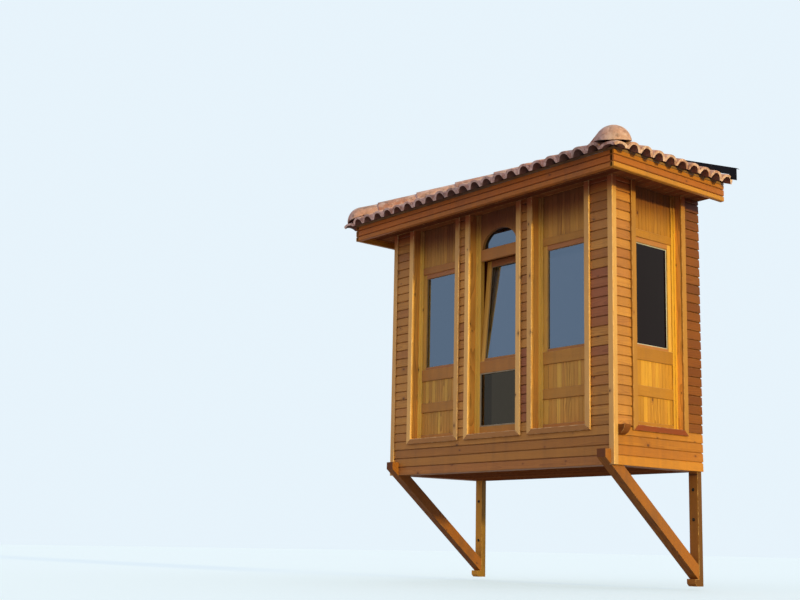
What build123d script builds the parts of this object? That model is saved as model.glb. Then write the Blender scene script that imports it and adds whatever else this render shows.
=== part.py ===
from build123d import *
from math import radians, sin, sqrt, tan
import os

# Wooden oriel window on two wall brackets, in millimetres.
# X runs along the facade, Y into the wall, Z up. The wall plane is Y = 0, and the origin is the
# centre of the wall ledger's back face.

# Box
wall_thickness = 150
trim_width = 56
trim_proud = 10

# Floor
ledger_height = 140
ledger_depth = 60
underside_thickness = 20
floor_thickness = 22
back_stud_width = 60
back_lintel_height = 220

# Bays, and the strips of siding beside their casings
bay_half_width = 318
casing_width = 60
strip_between_bays = 86
corner_strip = 250
side_front_strip = 239
side_rear_strip = 222
sill_height = 354
casing_proud = 18
sill_casing_height = 51
lining_thickness = 18
front_recess = 80
side_recess = 60

# Window frames, from the sill up
frame_depth = 60
jamb_width = 52
bottom_rail = 40
lower_panel = 226
low_rail = 92
upper_panel = 225
mid_rail = 113
sash_opening = 985
head_rail = 70
top_panel = 395
panel_thickness = 20
panel_setback = 12
stop_bead_width = 25
stop_bead_proud = 8
rebate = 14
rebate_lip = 12

# Fanlight and lower pane of the middle bay
middle_jamb_width = 66
middle_bottom_rail = 71
transom = 112
arch_half_span = 233
arch_rise = 182
pane_lip = 15
fanlight_lip = 34
pane_thickness = 24
pane_lap = 12

# Sashes
sash_depth = 44
sash_clearance = 2
stile_visible = 46
sash_top_visible = 45
sash_bottom_visible = 25
glass_setback = 15
glass_thickness = 20
glass_lap = 10
tilt_angle = 5.2

# Roof
roof_pitch = 20.5
side_overhang = 285
front_overhang = 307
tile_overhang = 90
tile_depth = 88
deck_thickness = 20
fascia_thickness = 40
fascia_height = 152
fascia_drop = 58
soffit_thickness = 18
rafter_width = 50
rafter_depth = 80
rafter_spacing = 560
cap_half_width = 156
cap_height = 133
cap_thickness = 16
cap_setback = 29
flashing_height = 70
flashing_depth = 45
flashing_sheet = 4
flashing_reach = 80

# Brackets
bracket_inset = 72.5
post_width = 100
post_depth = 60
post_drop = 1010
heel_top_drop = 945
heel_depth = 112
heel_chamfer = 24
strut_width = 95
strut_depth = 100
strut_seat = 11
head_projection = 80
head_height = 130
head_toe_height = 62
bolt_radius = 7
upper_bolt_drop = 160
lower_bolt_drop = 425

# Consoles on the side walls
console_projection = 78
console_length = 84
console_height = 83
console_top = 338

# Levels above the underside that follow from the rails and panels
bottom_rail_top = sill_height + bottom_rail
low_rail_bottom = bottom_rail_top + lower_panel
low_rail_top = low_rail_bottom + low_rail
mid_rail_bottom = low_rail_top + upper_panel
sash_sill_height = mid_rail_bottom + mid_rail
sash_head_height = sash_sill_height + sash_opening
head_rail_top = sash_head_height + head_rail
transom_top = sash_head_height + transom
wall_height = head_rail_top + top_panel

# Planes that follow from the sizes above
casing_half = bay_half_width + casing_width
front_bay_spacing = 2 * casing_half + strip_between_bays
siding_half_width = front_bay_spacing + casing_half + corner_strip
side_bay_distance = side_rear_strip + casing_half
siding_depth = side_bay_distance + casing_half + side_front_strip
bracket_x = siding_half_width - bracket_inset
base_z = -(ledger_height / 2 + underside_thickness)
soffit_z = base_z + wall_height
sill_z = base_z + sill_height
lining_z = sill_z - lining_thickness
floor_top_z = ledger_height / 2 + floor_thickness
rough_half = bay_half_width + lining_thickness
inner_half_width = siding_half_width - wall_thickness
inner_depth = siding_depth - wall_thickness
fascia_x = siding_half_width + side_overhang
fascia_y = siding_depth + front_overhang
eaves_x = fascia_x + tile_overhang
eaves_y = fascia_y + tile_overhang
ridge_half = eaves_x - eaves_y
slope = tan(radians(roof_pitch))
tile_bottom_z = soffit_z - fascia_drop + fascia_height + deck_thickness - tile_overhang * slope
tile_top_z = tile_bottom_z + tile_depth
far = 2 * (eaves_x + eaves_y)


def block(x0, x1, y0, y1, z0, z1):
    """A box between six planes."""
    size = Box(x1 - x0, y1 - y0, z1 - z0)
    return Pos((x0 + x1) / 2, (y0 + y1) / 2, (z0 + z1) / 2) * size


def prism_x(points, x0, x1):
    """A profile of (y, z) points carried along X."""
    face = make_face(Polyline(*[(x0, y, z) for y, z in points], close=True))
    return extrude(face, x1 - x0, dir=(1, 0, 0))


def prism_y(points, y0, y1):
    """A profile of (x, z) points carried along Y."""
    face = make_face(Polyline(*[(x, y0, z) for x, z in points], close=True))
    return extrude(face, y1 - y0, dir=(0, 1, 0))


def prism_z(points, z0, z1):
    """A plan of (x, y) points carried upwards."""
    face = make_face(Polyline(*[(x, y, z0) for x, y in points], close=True))
    return extrude(face, z1 - z0, dir=(0, 0, 1))


def mirrored(shape):
    """The same piece on the other side of the oriel."""
    return mirror(shape, about=Plane.YZ)


# Floor, back and aprons

def wall_ledger():
    return block(-inner_half_width, inner_half_width, -ledger_depth, 0, -ledger_height / 2, ledger_height / 2)


def underside_boards():
    top = base_z + underside_thickness
    return block(-inner_half_width, inner_half_width, -inner_depth, 0, base_z, top)


def floor_deck():
    bottom = ledger_height / 2
    return block(-inner_half_width, inner_half_width, -inner_depth, 0, bottom, floor_top_z)


def back_frame():
    outer = block(-inner_half_width, inner_half_width, -ledger_depth, 0, floor_top_z, soffit_z)
    clear = inner_half_width - back_stud_width
    return outer - block(-clear, clear, -ledger_depth, 0, floor_top_z, soffit_z - back_lintel_height)


def front_apron():
    return block(-siding_half_width, siding_half_width, -siding_depth, -inner_depth, base_z, lining_z)


def right_apron():
    return block(inner_half_width, siding_half_width, -inner_depth, 0, base_z, lining_z)


# Piers between the bays

def right_corner_pier():
    front_end = front_bay_spacing + rough_half
    side_end = side_bay_distance + rough_half
    front_wing = block(front_end, siding_half_width, -siding_depth, -inner_depth, lining_z, soffit_z)
    side_wing = block(inner_half_width, siding_half_width, -siding_depth, -side_end, lining_z, soffit_z)
    return front_wing + side_wing


def right_middle_pier():
    far_edge = front_bay_spacing - rough_half
    return block(rough_half, far_edge, -siding_depth, -inner_depth, lining_z, soffit_z)


def right_rear_pier():
    near_edge = side_bay_distance - rough_half
    return block(inner_half_width, siding_half_width, -near_edge, 0, lining_z, soffit_z)


def right_corner_trim():
    x, y = siding_half_width + trim_proud, siding_depth + trim_proud
    inner_x, inner_y = x - trim_width, y - trim_width
    front_face = block(inner_x, x, -y, -siding_depth, base_z, soffit_z)
    return front_face + block(siding_half_width, x, -siding_depth, -inner_y, base_z, soffit_z)


def side_console():
    """A quarter-round console that stands out from the side wall, flat on top."""
    x0 = siding_half_width
    z1 = base_z + console_top
    y0 = -(siding_depth + trim_proud - trim_width)
    top = Line((x0, y0, z1), (x0 + console_projection, y0, z1))
    nose = EllipticalCenterArc((0, 0), console_projection, console_height, -90, arc_size=90)
    under = Plane((x0, y0, z1), x_dir=(1, 0, 0), z_dir=(0, -1, 0)) * nose
    back = Line((x0, y0, z1 - console_height), (x0, y0, z1))
    return extrude(make_face([top, under, back]), console_length, dir=(0, 1, 0))


# Bays, built facing -Y about X = 0 with Y = 0 on the siding

def bay_casing():
    bottom = sill_z - sill_casing_height
    whole = block(-casing_half, casing_half, -casing_proud, 0, bottom, soffit_z)
    return whole - block(-bay_half_width, bay_half_width, -casing_proud, 0, sill_z, soffit_z)


def lining(recess):
    """Boards that line the reveal back to the window frame, and the stop beads in its corners."""
    depth = recess + frame_depth
    whole = block(-rough_half, rough_half, 0, depth, lining_z, soffit_z)
    boards = whole - block(-bay_half_width, bay_half_width, 0, depth, sill_z, soffit_z)
    inner = bay_half_width - stop_bead_width
    near = recess - stop_bead_proud
    beads = block(-bay_half_width, -inner, near, recess, sill_z, soffit_z)
    return boards + beads + block(inner, bay_half_width, near, recess, sill_z, soffit_z)


def panel_pocket(half, recess, low, high):
    """The recesses that leave a thin board between two rails."""
    back = recess + panel_setback + panel_thickness
    outside = block(-half, half, recess, recess + panel_setback, base_z + low, base_z + high)
    inside = block(-half, half, back, recess + frame_depth, base_z + low, base_z + high)
    return outside + inside


def rebated_opening(half, recess, low, high):
    """A window opening with a stop on the outside and a wider rebate behind it."""
    bottom, top = base_z + low, base_z + high
    through = block(-half, half, recess, recess + frame_depth, bottom, top)
    wide = half + rebate
    behind = block(-wide, wide, recess + rebate_lip, recess + frame_depth, bottom - rebate, top + rebate)
    return through + behind


def casement_frame(recess):
    half = bay_half_width - jamb_width
    body = block(-bay_half_width, bay_half_width, recess, recess + frame_depth, sill_z, soffit_z)
    body -= panel_pocket(half, recess, bottom_rail_top, low_rail_bottom)
    body -= panel_pocket(half, recess, low_rail_top, mid_rail_bottom)
    body -= panel_pocket(half, recess, head_rail_top, wall_height)
    body -= rebated_opening(half, recess, sash_sill_height, sash_head_height)
    return body + lining(recess)


def arch_face(grow, y):
    """The fanlight's outline: half an ellipse on a level base, larger all round by grow."""
    half = arch_half_span + grow
    plane = Plane((0, y, base_z + transom_top - grow), x_dir=(1, 0, 0), z_dir=(0, -1, 0))
    crown = EllipticalCenterArc((0, grow), half, arch_rise + grow, 0, arc_size=180)
    if grow:
        base = Polyline((-half, grow), (-half, 0), (half, 0), (half, grow))
    else:
        base = Line((-half, 0), (half, 0))
    return plane * make_face([crown, base])


def middle_frame():
    half = bay_half_width - middle_jamb_width
    body = block(-bay_half_width, bay_half_width, front_recess, front_recess + frame_depth, sill_z, soffit_z)
    body -= rebated_opening(half, front_recess, sash_sill_height, sash_head_height)
    pane_bottom, pane_top = sill_z + middle_bottom_rail, base_z + mid_rail_bottom
    lip_back = front_recess + pane_lip
    arch_lip_back = front_recess + fanlight_lip
    frame_back = front_recess + frame_depth
    body -= block(-half, half, front_recess, frame_back, pane_bottom, pane_top)
    wide = half + pane_lap
    body -= block(-wide, wide, lip_back, frame_back, pane_bottom - pane_lap, pane_top + pane_lap)
    body -= extrude(arch_face(0, front_recess), frame_depth, dir=(0, 1, 0))
    body -= extrude(arch_face(pane_lap, arch_lip_back), frame_back - arch_lip_back, dir=(0, 1, 0))
    return body + lining(front_recess)


def lower_pane():
    wide = bay_half_width - middle_jamb_width + pane_lap
    bottom = sill_z + middle_bottom_rail - pane_lap
    top = base_z + mid_rail_bottom + pane_lap
    near = front_recess + pane_lip
    return block(-wide, wide, near, near + pane_thickness, bottom, top)


def fanlight_glass():
    return extrude(arch_face(pane_lap, front_recess + fanlight_lip), pane_thickness, dir=(0, 1, 0))


def sash(half, recess):
    """A casement sash whose bottom edge rests in the frame's rebate."""
    near = recess + rebate_lip
    wide = half + rebate - sash_clearance
    bottom = base_z + sash_sill_height - rebate
    top = base_z + sash_head_height + rebate - sash_clearance
    body = block(-wide, wide, near, near + sash_depth, bottom, top)
    clear = half - stile_visible
    low = base_z + sash_sill_height + sash_bottom_visible
    high = base_z + sash_head_height - sash_top_visible
    body -= block(-clear, clear, near, near + sash_depth, low, high)
    seat = clear + glass_lap
    low, high = low - glass_lap, high + glass_lap
    return body - block(-seat, seat, near + glass_setback, near + sash_depth, low, high)


def sash_glass(half, recess):
    near = recess + rebate_lip + glass_setback
    seat = half - stile_visible + glass_lap
    low = base_z + sash_sill_height + sash_bottom_visible - glass_lap
    high = base_z + sash_head_height - sash_top_visible + glass_lap
    return block(-seat, seat, near, near + glass_thickness, low, high)


def tilted(shape):
    """Leans the middle sash inwards about its lower outer edge, with its back edge on the rebate."""
    y0 = front_recess + rebate_lip
    z0 = base_z + sash_sill_height - rebate
    lift = sash_depth * sin(radians(tilt_angle))
    return Pos(0, y0, z0 + lift) * Rot(X=-tilt_angle) * Pos(0, -y0, -z0) * shape


# Roof

def hip_solid(grow_out, top_z):
    """The solid under a hipped roof surface that starts at the eaves at top_z."""
    x, y = eaves_x + grow_out, eaves_y + grow_out
    edge_z = top_z - grow_out * slope
    ridge_z = edge_z + y * slope
    side = prism_x([(-y, base_z), (-y, edge_z), (0, ridge_z), (0, base_z)], -far, far)
    ridge = x - y
    gable = [(-x, base_z), (-x, edge_z), (-ridge, ridge_z), (ridge, ridge_z), (x, edge_z), (x, base_z)]
    return side & prism_y(gable, -far, far)


def front_part(layer):
    """The front slope of a roof layer, between the two hips."""
    plan = [(-eaves_x, -eaves_y), (eaves_x, -eaves_y), (ridge_half, 0), (-ridge_half, 0)]
    return layer & prism_z(plan, base_z, base_z + far)


def right_part(layer):
    """The side slope of a roof layer, from the right hip to the eaves."""
    plan = [(eaves_x, -eaves_y), (eaves_x, 0), (ridge_half, 0)]
    return layer & prism_z(plan, base_z, base_z + far)


def tile_layer():
    return hip_solid(0, tile_top_z) - hip_solid(0, tile_bottom_z)


def under_roof():
    """The space under the roof deck, within the outer faces of the fascias."""
    return hip_solid(-tile_overhang, tile_bottom_z - deck_thickness)


def deck_layer():
    return hip_solid(-tile_overhang, tile_bottom_z) - under_roof()


def roof_frame(room):
    """Rafters of both kinds of slope, the hip rafters and a pair along the wall, joined where they meet."""
    band = room - Pos(0, 0, -rafter_depth) * room
    half = rafter_width / 2
    top = base_z + far
    x, y = fascia_x - fascia_thickness, fascia_y - fascia_thickness
    front_band, side_band = front_part(band), right_part(band)
    frame = band & block(-x, x, -rafter_width, 0, base_z, top)
    diagonal = half * sqrt(2)
    corner = [(x - diagonal, -y), (x, -y), (x, diagonal - y)]
    ridge_end = [(ridge_half + diagonal, 0), (ridge_half - diagonal, 0)]
    hip_rafter = band & prism_z(corner + ridge_end, base_z, top)
    frame += hip_rafter
    frame += mirrored(hip_rafter)
    steps = int(x / rafter_spacing)
    for step in range(-steps, steps + 1):
        centre = step * rafter_spacing
        frame += front_band & block(centre - half, centre + half, -y, 0, base_z, top)
    for step in range(1, int(y / rafter_spacing) + 1):
        centre = step * rafter_spacing
        jack = side_band & block(0, x, -centre - half, half - centre, base_z, top)
        frame += jack
        frame += mirrored(jack)
    return frame - block(-far, far, -far, 0, base_z, soffit_z + soffit_thickness)


def front_fascia(room):
    inner = fascia_x - fascia_thickness
    bottom = soffit_z - fascia_drop
    return block(-inner, inner, -fascia_y, -fascia_y + fascia_thickness, bottom, bottom + far) & room


def right_fascia(room):
    bottom = soffit_z - fascia_drop
    return block(fascia_x - fascia_thickness, fascia_x, -fascia_y, 0, bottom, bottom + far) & room


def soffit_boards():
    x, y = fascia_x - fascia_thickness, fascia_y - fascia_thickness
    whole = block(-x, x, -y, 0, soffit_z, soffit_z + soffit_thickness)
    return whole - ceiling_panel()


def ceiling_panel():
    top = soffit_z + soffit_thickness
    return block(-inner_half_width, inner_half_width, -inner_depth, 0, soffit_z, top)


def domed_barrel(inset, length):
    """A rounded barrel along X with a dome at X = 0, flat below at Z = 0, thinner by inset all round."""
    radius = (cap_half_width ** 2 + cap_height ** 2) / (2 * cap_height)
    centre_z = cap_height - radius
    bar = Pos(length / 2, 0, centre_z) * Rot(Y=90) * Cylinder(radius - inset, length)
    dome = Pos(0, 0, centre_z) * Sphere(radius - inset)
    above = block(-radius, length, -radius, radius, 0, cap_height)
    return (bar + dome) & above


def right_hip_cap(tiles):
    """Rounded cap over the hip: a domed starter near the corner, then up to the flashing."""
    hip = Vector(-1, 1, slope)
    edge_drop = slope * cap_half_width / sqrt(2)
    back = (cap_setback + cap_half_width) / sqrt(2)
    start = Vector(eaves_x, -eaves_y, tile_top_z - edge_drop) + hip * back
    length = hip.length * (eaves_y - back)
    place = Plane(origin=start, x_dir=hip, z_dir=Vector(0, 0, 1) - hip * (slope / hip.length ** 2))
    shell = place * (domed_barrel(0, length) - domed_barrel(cap_thickness, length))
    keep = block(-far, far, -far, -flashing_depth, base_z, base_z + far)
    return (shell & keep) - tiles


def wall_flashing(tiles):
    """Folded sheet over the roof's top edge: an upright face and a return to the wall."""
    def band(low, high):
        rise = eaves_y * slope
        drop = flashing_reach * slope
        reach = eaves_x + flashing_reach
        outline = [(reach, -drop), (ridge_half, rise), (-ridge_half, rise), (-reach, -drop)]
        upper = [(x, tile_top_z + z + high) for x, z in outline]
        lower = [(x, tile_top_z + z + low) for x, z in reversed(outline)]
        return upper + lower

    face_back = flashing_sheet - flashing_depth
    face = prism_y(band(-tile_depth / 2, flashing_height), -flashing_depth, face_back) - tiles
    cap = prism_y(band(flashing_height - flashing_sheet, flashing_height), face_back, 0)
    return face + cap


# Brackets

def right_wall_post():
    bottom = base_z - post_drop
    heel_top = base_z - heel_top_drop
    profile = [
        (0, base_z), (-post_depth, base_z), (-post_depth, heel_top), (-heel_depth, heel_top),
        (-heel_depth, bottom + heel_chamfer), (heel_chamfer - heel_depth, bottom), (0, bottom),
    ]
    post = prism_x(profile, bracket_x - post_width / 2, bracket_x + post_width / 2)
    for drop in (upper_bolt_drop, lower_bolt_drop):
        post -= Pos(bracket_x, -post_depth / 2, base_z - drop) * Rot(X=90) * Cylinder(bolt_radius, post_depth)
    return post


def right_strut(trim):
    """Diagonal strut with a square head notched over the front bottom edge of the box."""
    head_y = -(siding_depth + head_projection)
    toe_z = base_z + head_toe_height
    heel_top = base_z - heel_top_drop
    seat_y = -(post_depth + strut_seat)
    steep = (toe_z - heel_top) / (seat_y - head_y)
    rise = strut_depth * sqrt(1 + steep ** 2)
    under_box_y = head_y + (toe_z + rise - base_z) / steep
    foot_z = toe_z + rise - steep * (-post_depth - head_y)
    profile = [
        (head_y, toe_z), (head_y, base_z + head_height), (-siding_depth, base_z + head_height),
        (-siding_depth, base_z), (under_box_y, base_z), (-post_depth, foot_z),
        (-post_depth, heel_top), (seat_y, heel_top),
    ]
    return prism_x(profile, bracket_x - strut_width / 2, bracket_x + strut_width / 2) - trim


# The whole oriel, as named sub-parts

def right_side(shape):
    """Puts a bay on the right side wall, its outside facing +X."""
    return Pos(siding_half_width, -side_bay_distance, 0) * Rot(Z=90) * shape


def front(shape, x):
    return Pos(x, -siding_depth, 0) * shape


def pair(right_piece):
    """A right-hand piece and its mirror image, as two solids of one sub-part."""
    return Compound([right_piece, mirrored(right_piece)])


def add_pair(pieces, name, right_piece):
    """A right-hand piece and its mirror image, as two sub-parts."""
    pieces["right_" + name] = right_piece
    pieces["left_" + name] = mirrored(right_piece)


def box_pieces():
    pieces = {
        "wall_ledger": wall_ledger(),
        "underside_boards": underside_boards(),
        "floor_deck": floor_deck(),
        "back_frame": back_frame(),
        "front_apron": front_apron(),
        "side_aprons": pair(right_apron()),
        "middle_piers": pair(right_middle_pier()),
        "rear_piers": pair(right_rear_pier()),
        "corner_trims": pair(right_corner_trim()),
        "side_consoles": pair(side_console()),
    }
    add_pair(pieces, "corner_pier", right_corner_pier())
    add_pair(pieces, "wall_post", right_wall_post())
    add_pair(pieces, "strut", right_strut(right_corner_trim()))
    return pieces


def bay_pieces():
    half = bay_half_width - jamb_width
    middle_half = bay_half_width - middle_jamb_width
    casing = front(bay_casing(), front_bay_spacing)
    pieces = {
        "front_casings": Compound([front(bay_casing(), 0), casing, mirrored(casing)]),
        "side_casings": pair(right_side(bay_casing())),
        "front_glass": pair(front(sash_glass(half, front_recess), front_bay_spacing)),
        "side_glass": pair(right_side(sash_glass(half, side_recess))),
        "middle_frame": front(middle_frame(), 0),
        "tilted_sash": front(tilted(sash(middle_half, front_recess)), 0),
        "tilted_glass": front(tilted(sash_glass(middle_half, front_recess)), 0),
        "fanlight_glass": front(fanlight_glass(), 0),
        "lower_pane": front(lower_pane(), 0),
    }
    add_pair(pieces, "front_frame", front(casement_frame(front_recess), front_bay_spacing))
    add_pair(pieces, "front_sash", front(sash(half, front_recess), front_bay_spacing))
    add_pair(pieces, "side_frame", right_side(casement_frame(side_recess)))
    add_pair(pieces, "side_sash", right_side(sash(half, side_recess)))
    return pieces


def roof_pieces():
    room = under_roof()
    tiles = hip_solid(0, tile_top_z)
    return {
        "soffit_boards": soffit_boards(),
        "ceiling_panel": ceiling_panel(),
        "front_fascia": front_fascia(room),
        "side_fascias": pair(right_fascia(room)),
        "roof_frame": roof_frame(room),
        "front_roof_deck": front_part(deck_layer()),
        "side_roof_decks": pair(right_part(deck_layer())),
        "front_tile_slope": front_part(tile_layer()),
        "side_tile_slopes": pair(right_part(tile_layer())),
        "hip_caps": pair(right_hip_cap(tiles)),
        "wall_flashing": wall_flashing(tiles),
    }


os.makedirs("parts", exist_ok=True)
for name, piece in (box_pieces() | bay_pieces() | roof_pieces()).items():
    export_step(piece, "parts/" + name + ".step")
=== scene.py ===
import random
from math import asin, atan2, ceil, cos, pi, radians, sin, sqrt, tan

import bmesh
import bpy
from mathutils import Matrix, Vector


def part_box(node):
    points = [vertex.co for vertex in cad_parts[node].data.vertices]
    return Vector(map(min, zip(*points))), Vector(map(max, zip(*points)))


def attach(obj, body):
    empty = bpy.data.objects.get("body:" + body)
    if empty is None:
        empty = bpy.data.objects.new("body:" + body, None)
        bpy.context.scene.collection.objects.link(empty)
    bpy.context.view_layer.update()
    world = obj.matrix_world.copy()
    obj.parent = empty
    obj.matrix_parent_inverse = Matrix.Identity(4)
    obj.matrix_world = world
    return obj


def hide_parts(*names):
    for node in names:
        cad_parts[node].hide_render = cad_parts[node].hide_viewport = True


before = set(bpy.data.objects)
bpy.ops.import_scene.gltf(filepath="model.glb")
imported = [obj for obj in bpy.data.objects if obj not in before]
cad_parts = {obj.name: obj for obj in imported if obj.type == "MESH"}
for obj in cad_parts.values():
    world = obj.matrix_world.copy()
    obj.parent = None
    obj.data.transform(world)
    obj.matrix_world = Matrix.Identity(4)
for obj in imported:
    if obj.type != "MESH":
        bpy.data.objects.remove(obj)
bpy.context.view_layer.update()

dice = random.Random(41)
print("frame loaded")

# Where the main faces are, read from the CAD
apronLow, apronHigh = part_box("front_apron")
ceilingLow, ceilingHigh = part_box("ceiling_panel")
baseZ, liningZ, soffitZ = apronLow.z, apronHigh.z, ceilingLow.z
sidingX, sidingY = apronHigh.x, apronLow.y
innerX, innerY = ceilingHigh.x, ceilingLow.y
liningThick = 0.018
sillZ = liningZ + liningThick


# Placing and mesh helpers

def axesAt(origin, u, v, w):
    return Matrix(((*u, 0), (*v, 0), (*w, 0), (*origin, 1))).transposed()


def planeOf(origin, across, up=(0, 0, 1)):
    u, v = Vector(across), Vector(up)
    return axesAt(origin, u, v, -u.cross(v))  # w runs into the piece, away from the viewer


def swapped(place, first, second):
    columns = [place.col[i].copy() for i in range(4)]
    columns[first], columns[second] = columns[second], columns[first]
    return Matrix(columns).transposed()


def mirrored(sign, a, b):
    return sorted((sign * a, sign * b))


def evenRows(start, end, width):
    rows = max(1, round((end - start) / width))
    step = (end - start) / rows
    return [(start + row * step, start + (row + 1) * step) for row in range(rows)]


def newStore():
    return {"points": [], "faces": [], "grain": [], "tone": [], "wear": []}


def newFigure(low=0.0, high=1.0):
    shift = Vector((dice.uniform(0, 40), dice.uniform(-0.05, 0.05), dice.uniform(0.02, 0.11)))
    return dice.uniform(low, high), shift


def tidyOutline(outline, least=1e-5):
    kept = []
    for point in outline:
        if not kept or (Vector(point) - Vector(kept[-1])).length > least:
            kept.append(point)
    if (Vector(kept[0]) - Vector(kept[-1])).length < least:
        kept.pop()
    return kept


def insetOutline(outline, amount):
    area = sum(a[0] * b[1] - b[0] * a[1] for a, b in zip(outline, outline[1:] + outline[:1]))
    turn = 1 if area > 0 else -1
    result = []
    for i, point in enumerate(outline):
        here, before, after = Vector(point), Vector(outline[i - 1]), Vector(outline[(i + 1) % len(outline)])
        first, second = (here - before).normalized(), (after - here).normalized()
        n0, n1 = Vector((-first.y, first.x)) * turn, Vector((-second.y, second.x)) * turn
        push = (n0 + n1) / max(0.4, 1 + n0.dot(n1))
        result.append(tuple(here + push * amount))
    return result


def chamfered(outline, size, corners):
    result, worn = [], []
    for i, point in enumerate(outline):
        if i not in corners:
            result.append(point)
            continue
        worn.append(len(result))
        for other in (outline[i - 1], outline[(i + 1) % len(outline)]):
            result.append(tuple(Vector(point) + (Vector(other) - Vector(point)).normalized() * size))
    return result, worn


def addFace(store, corners, wear=0.0):
    store["faces"].append(corners)
    store["wear"].append(wear)


def addPrism(store, outline, place, near, far, grain=(0, 1, 2), bevel=0.0015, bothEnds=False, worn=(),
             figure=None, turn=0.0, edge=1.0, tones=()):
    tone, shift = figure or newFigure(*tones)
    outline = tidyOutline(outline)
    inner = insetOutline(outline, bevel)
    rings = [(inner, near), (outline, near + bevel)]
    rings += [(outline, far - bevel), (inner, far)] if bothEnds else [(outline, far)]
    count, first = len(outline), len(store["points"])
    for ring, w in rings:
        for u, v in ring:
            store["points"].append(place @ Vector((u, v, w)))
            turned = (u * cos(turn) + v * sin(turn), v * cos(turn) - u * sin(turn), w)
            store["grain"].append(Vector([turned[i] for i in grain]) + shift)
            store["tone"].append(tone)
    last = len(rings) - 2
    addFace(store, [first + i for i in range(count)])
    for r in range(last + 1):
        for i in range(count):
            a, b = first + r * count + i, first + r * count + (i + 1) % count
            onEdge = r == 0 or (bothEnds and r == last) or i in worn
            addFace(store, [a, b, b + count, a + count], edge if onEdge else 0.0)
    addFace(store, [first + (last + 1) * count + i for i in reversed(range(count))])


def addBoard(store, place, across, up, deep, along="u", bevel=0.0015, bothEnds=False, tones=(), grain=None,
             edge=1.0):
    (u0, u1), (v0, v1) = across, up
    order = grain or ((0, 1, 2) if along == "u" else (1, 0, 2))
    outline = [(u0, v0), (u1, v0), (u1, v1), (u0, v1)]
    addPrism(store, outline, place, *deep, order, bevel, bothEnds, edge=edge, tones=tones)


def addRun(store, place, profile, ends, along, size=0.0025, corners=(), tones=(), bevel=0.001, edge=1.0):
    outline, worn = chamfered(tidyOutline(profile), size, corners)
    column, order = (0, (2, 1, 0)) if along == "u" else (1, (2, 0, 1))  # (w, v) points along u, or (u, w) along v
    addPrism(store, outline, swapped(place, column, 2), *ends, order, bevel, True, worn, edge=edge, tones=tones)


def addSlab(store, place, topRows, lowRows, figure):
    tone, shift = figure
    rows, width, first = len(topRows), len(topRows[0]), len(store["points"])
    for row in topRows + lowRows:
        for local in row:
            store["points"].append(place @ Vector(local))
            store["grain"].append(Vector(local) + shift)
            store["tone"].append(tone)

    def at(layer, r, c):
        return first + (layer * rows + r) * width + c

    for r in range(rows - 1):
        for c in range(width - 1):
            addFace(store, [at(0, r, c), at(0, r, c + 1), at(0, r + 1, c + 1), at(0, r + 1, c)])
            addFace(store, [at(1, r, c), at(1, r + 1, c), at(1, r + 1, c + 1), at(1, r, c + 1)])
        for c in (0, width - 1):
            addFace(store, [at(0, r, c), at(0, r + 1, c), at(1, r + 1, c), at(1, r, c)], 0.5)
    for c in range(width - 1):
        for r in (0, rows - 1):
            addFace(store, [at(0, r, c), at(1, r, c), at(1, r, c + 1), at(0, r, c + 1)], 1.0 if r == 0 else 0.0)


def newObject(name, data):
    made = bpy.data.objects.new(name, data)
    bpy.context.scene.collection.objects.link(made)
    return made


def makePiece(name, store, material, *nodes, cuts=(), smooth=False, slot="timber", crease=38):
    mesh = bpy.data.meshes.new(name)
    mesh.from_pydata(store["points"], [], store["faces"])
    flatGrain = [value for point in store["grain"] for value in point]
    mesh.attributes.new("grain", "FLOAT_VECTOR", "POINT").data.foreach_set("vector", flatGrain)
    mesh.attributes.new("tone", "FLOAT", "POINT").data.foreach_set("value", store["tone"])
    mesh.attributes.new("wear", "FLOAT", "FACE").data.foreach_set("value", store["wear"])
    solid = bmesh.new()
    solid.from_mesh(mesh)
    for point, normal in cuts:
        geometry = solid.verts[:] + solid.edges[:] + solid.faces[:]
        result = bmesh.ops.bisect_plane(solid, geom=geometry, plane_co=point, plane_no=normal, clear_outer=True)
        edges = [item for item in result["geom_cut"] if isinstance(item, bmesh.types.BMEdge)]
        bmesh.ops.holes_fill(solid, edges=edges, sides=0)
    if smooth:
        bmesh.ops.remove_doubles(solid, verts=solid.verts[:], dist=1e-6)
        for face in solid.faces:
            face.smooth = True
        for edge in solid.edges:
            if len(edge.link_faces) == 2 and edge.calc_face_angle(0) > radians(crease):
                edge.smooth = False
    bmesh.ops.recalc_face_normals(solid, faces=solid.faces[:])
    many = [face for face in solid.faces if len(face.verts) > 4]
    bmesh.ops.triangulate(solid, faces=many, ngon_method="EAR_CLIP")
    solid.to_mesh(mesh)
    solid.free()
    piece = newObject(name, mesh)
    mesh.materials.append(material)
    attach(piece, "root")
    if nodes:
        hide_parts(*nodes)


# Shader helpers: a value is a number, a tuple or another node's socket

def isSocket(value):
    return isinstance(value, bpy.types.NodeSocket)


def wire(node, inputs):
    for key, value in inputs.items():
        if isSocket(value):
            node.id_data.links.new(value, node.inputs[key])
        else:
            node.inputs[key].default_value = value
    return node


def put(tree, kind, inputs=None, **settings):
    node = tree.nodes.new(kind)
    for key, value in settings.items():
        setattr(node, key, value)
    return wire(node, inputs or {})


def follow(kind, inputs, **settings):  # a node in the tree of the sockets that feed it
    tree = next(value.id_data for value in inputs.values() if isSocket(value))
    return put(tree, kind, inputs, **settings).outputs


def mathNode(operation, a, b=0.0, clamp=False):
    return follow("ShaderNodeMath", {0: a, 1: b}, operation=operation, use_clamp=clamp)[0]


def chained(operation):
    def build(result, *others, clamp=False):
        for other in others:
            result = mathNode(operation, result, other, clamp)
        return result
    return build


plus, minus, times, over = (chained(operation) for operation in ("ADD", "SUBTRACT", "MULTIPLY", "DIVIDE"))


def distanceOf(a, b):
    return mathNode("SQRT", plus(times(a, a), times(b, b)))


def vectorNode(operation, a, b):
    return follow("ShaderNodeVectorMath", {0: a, 1: b}, operation=operation)[0]


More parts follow.
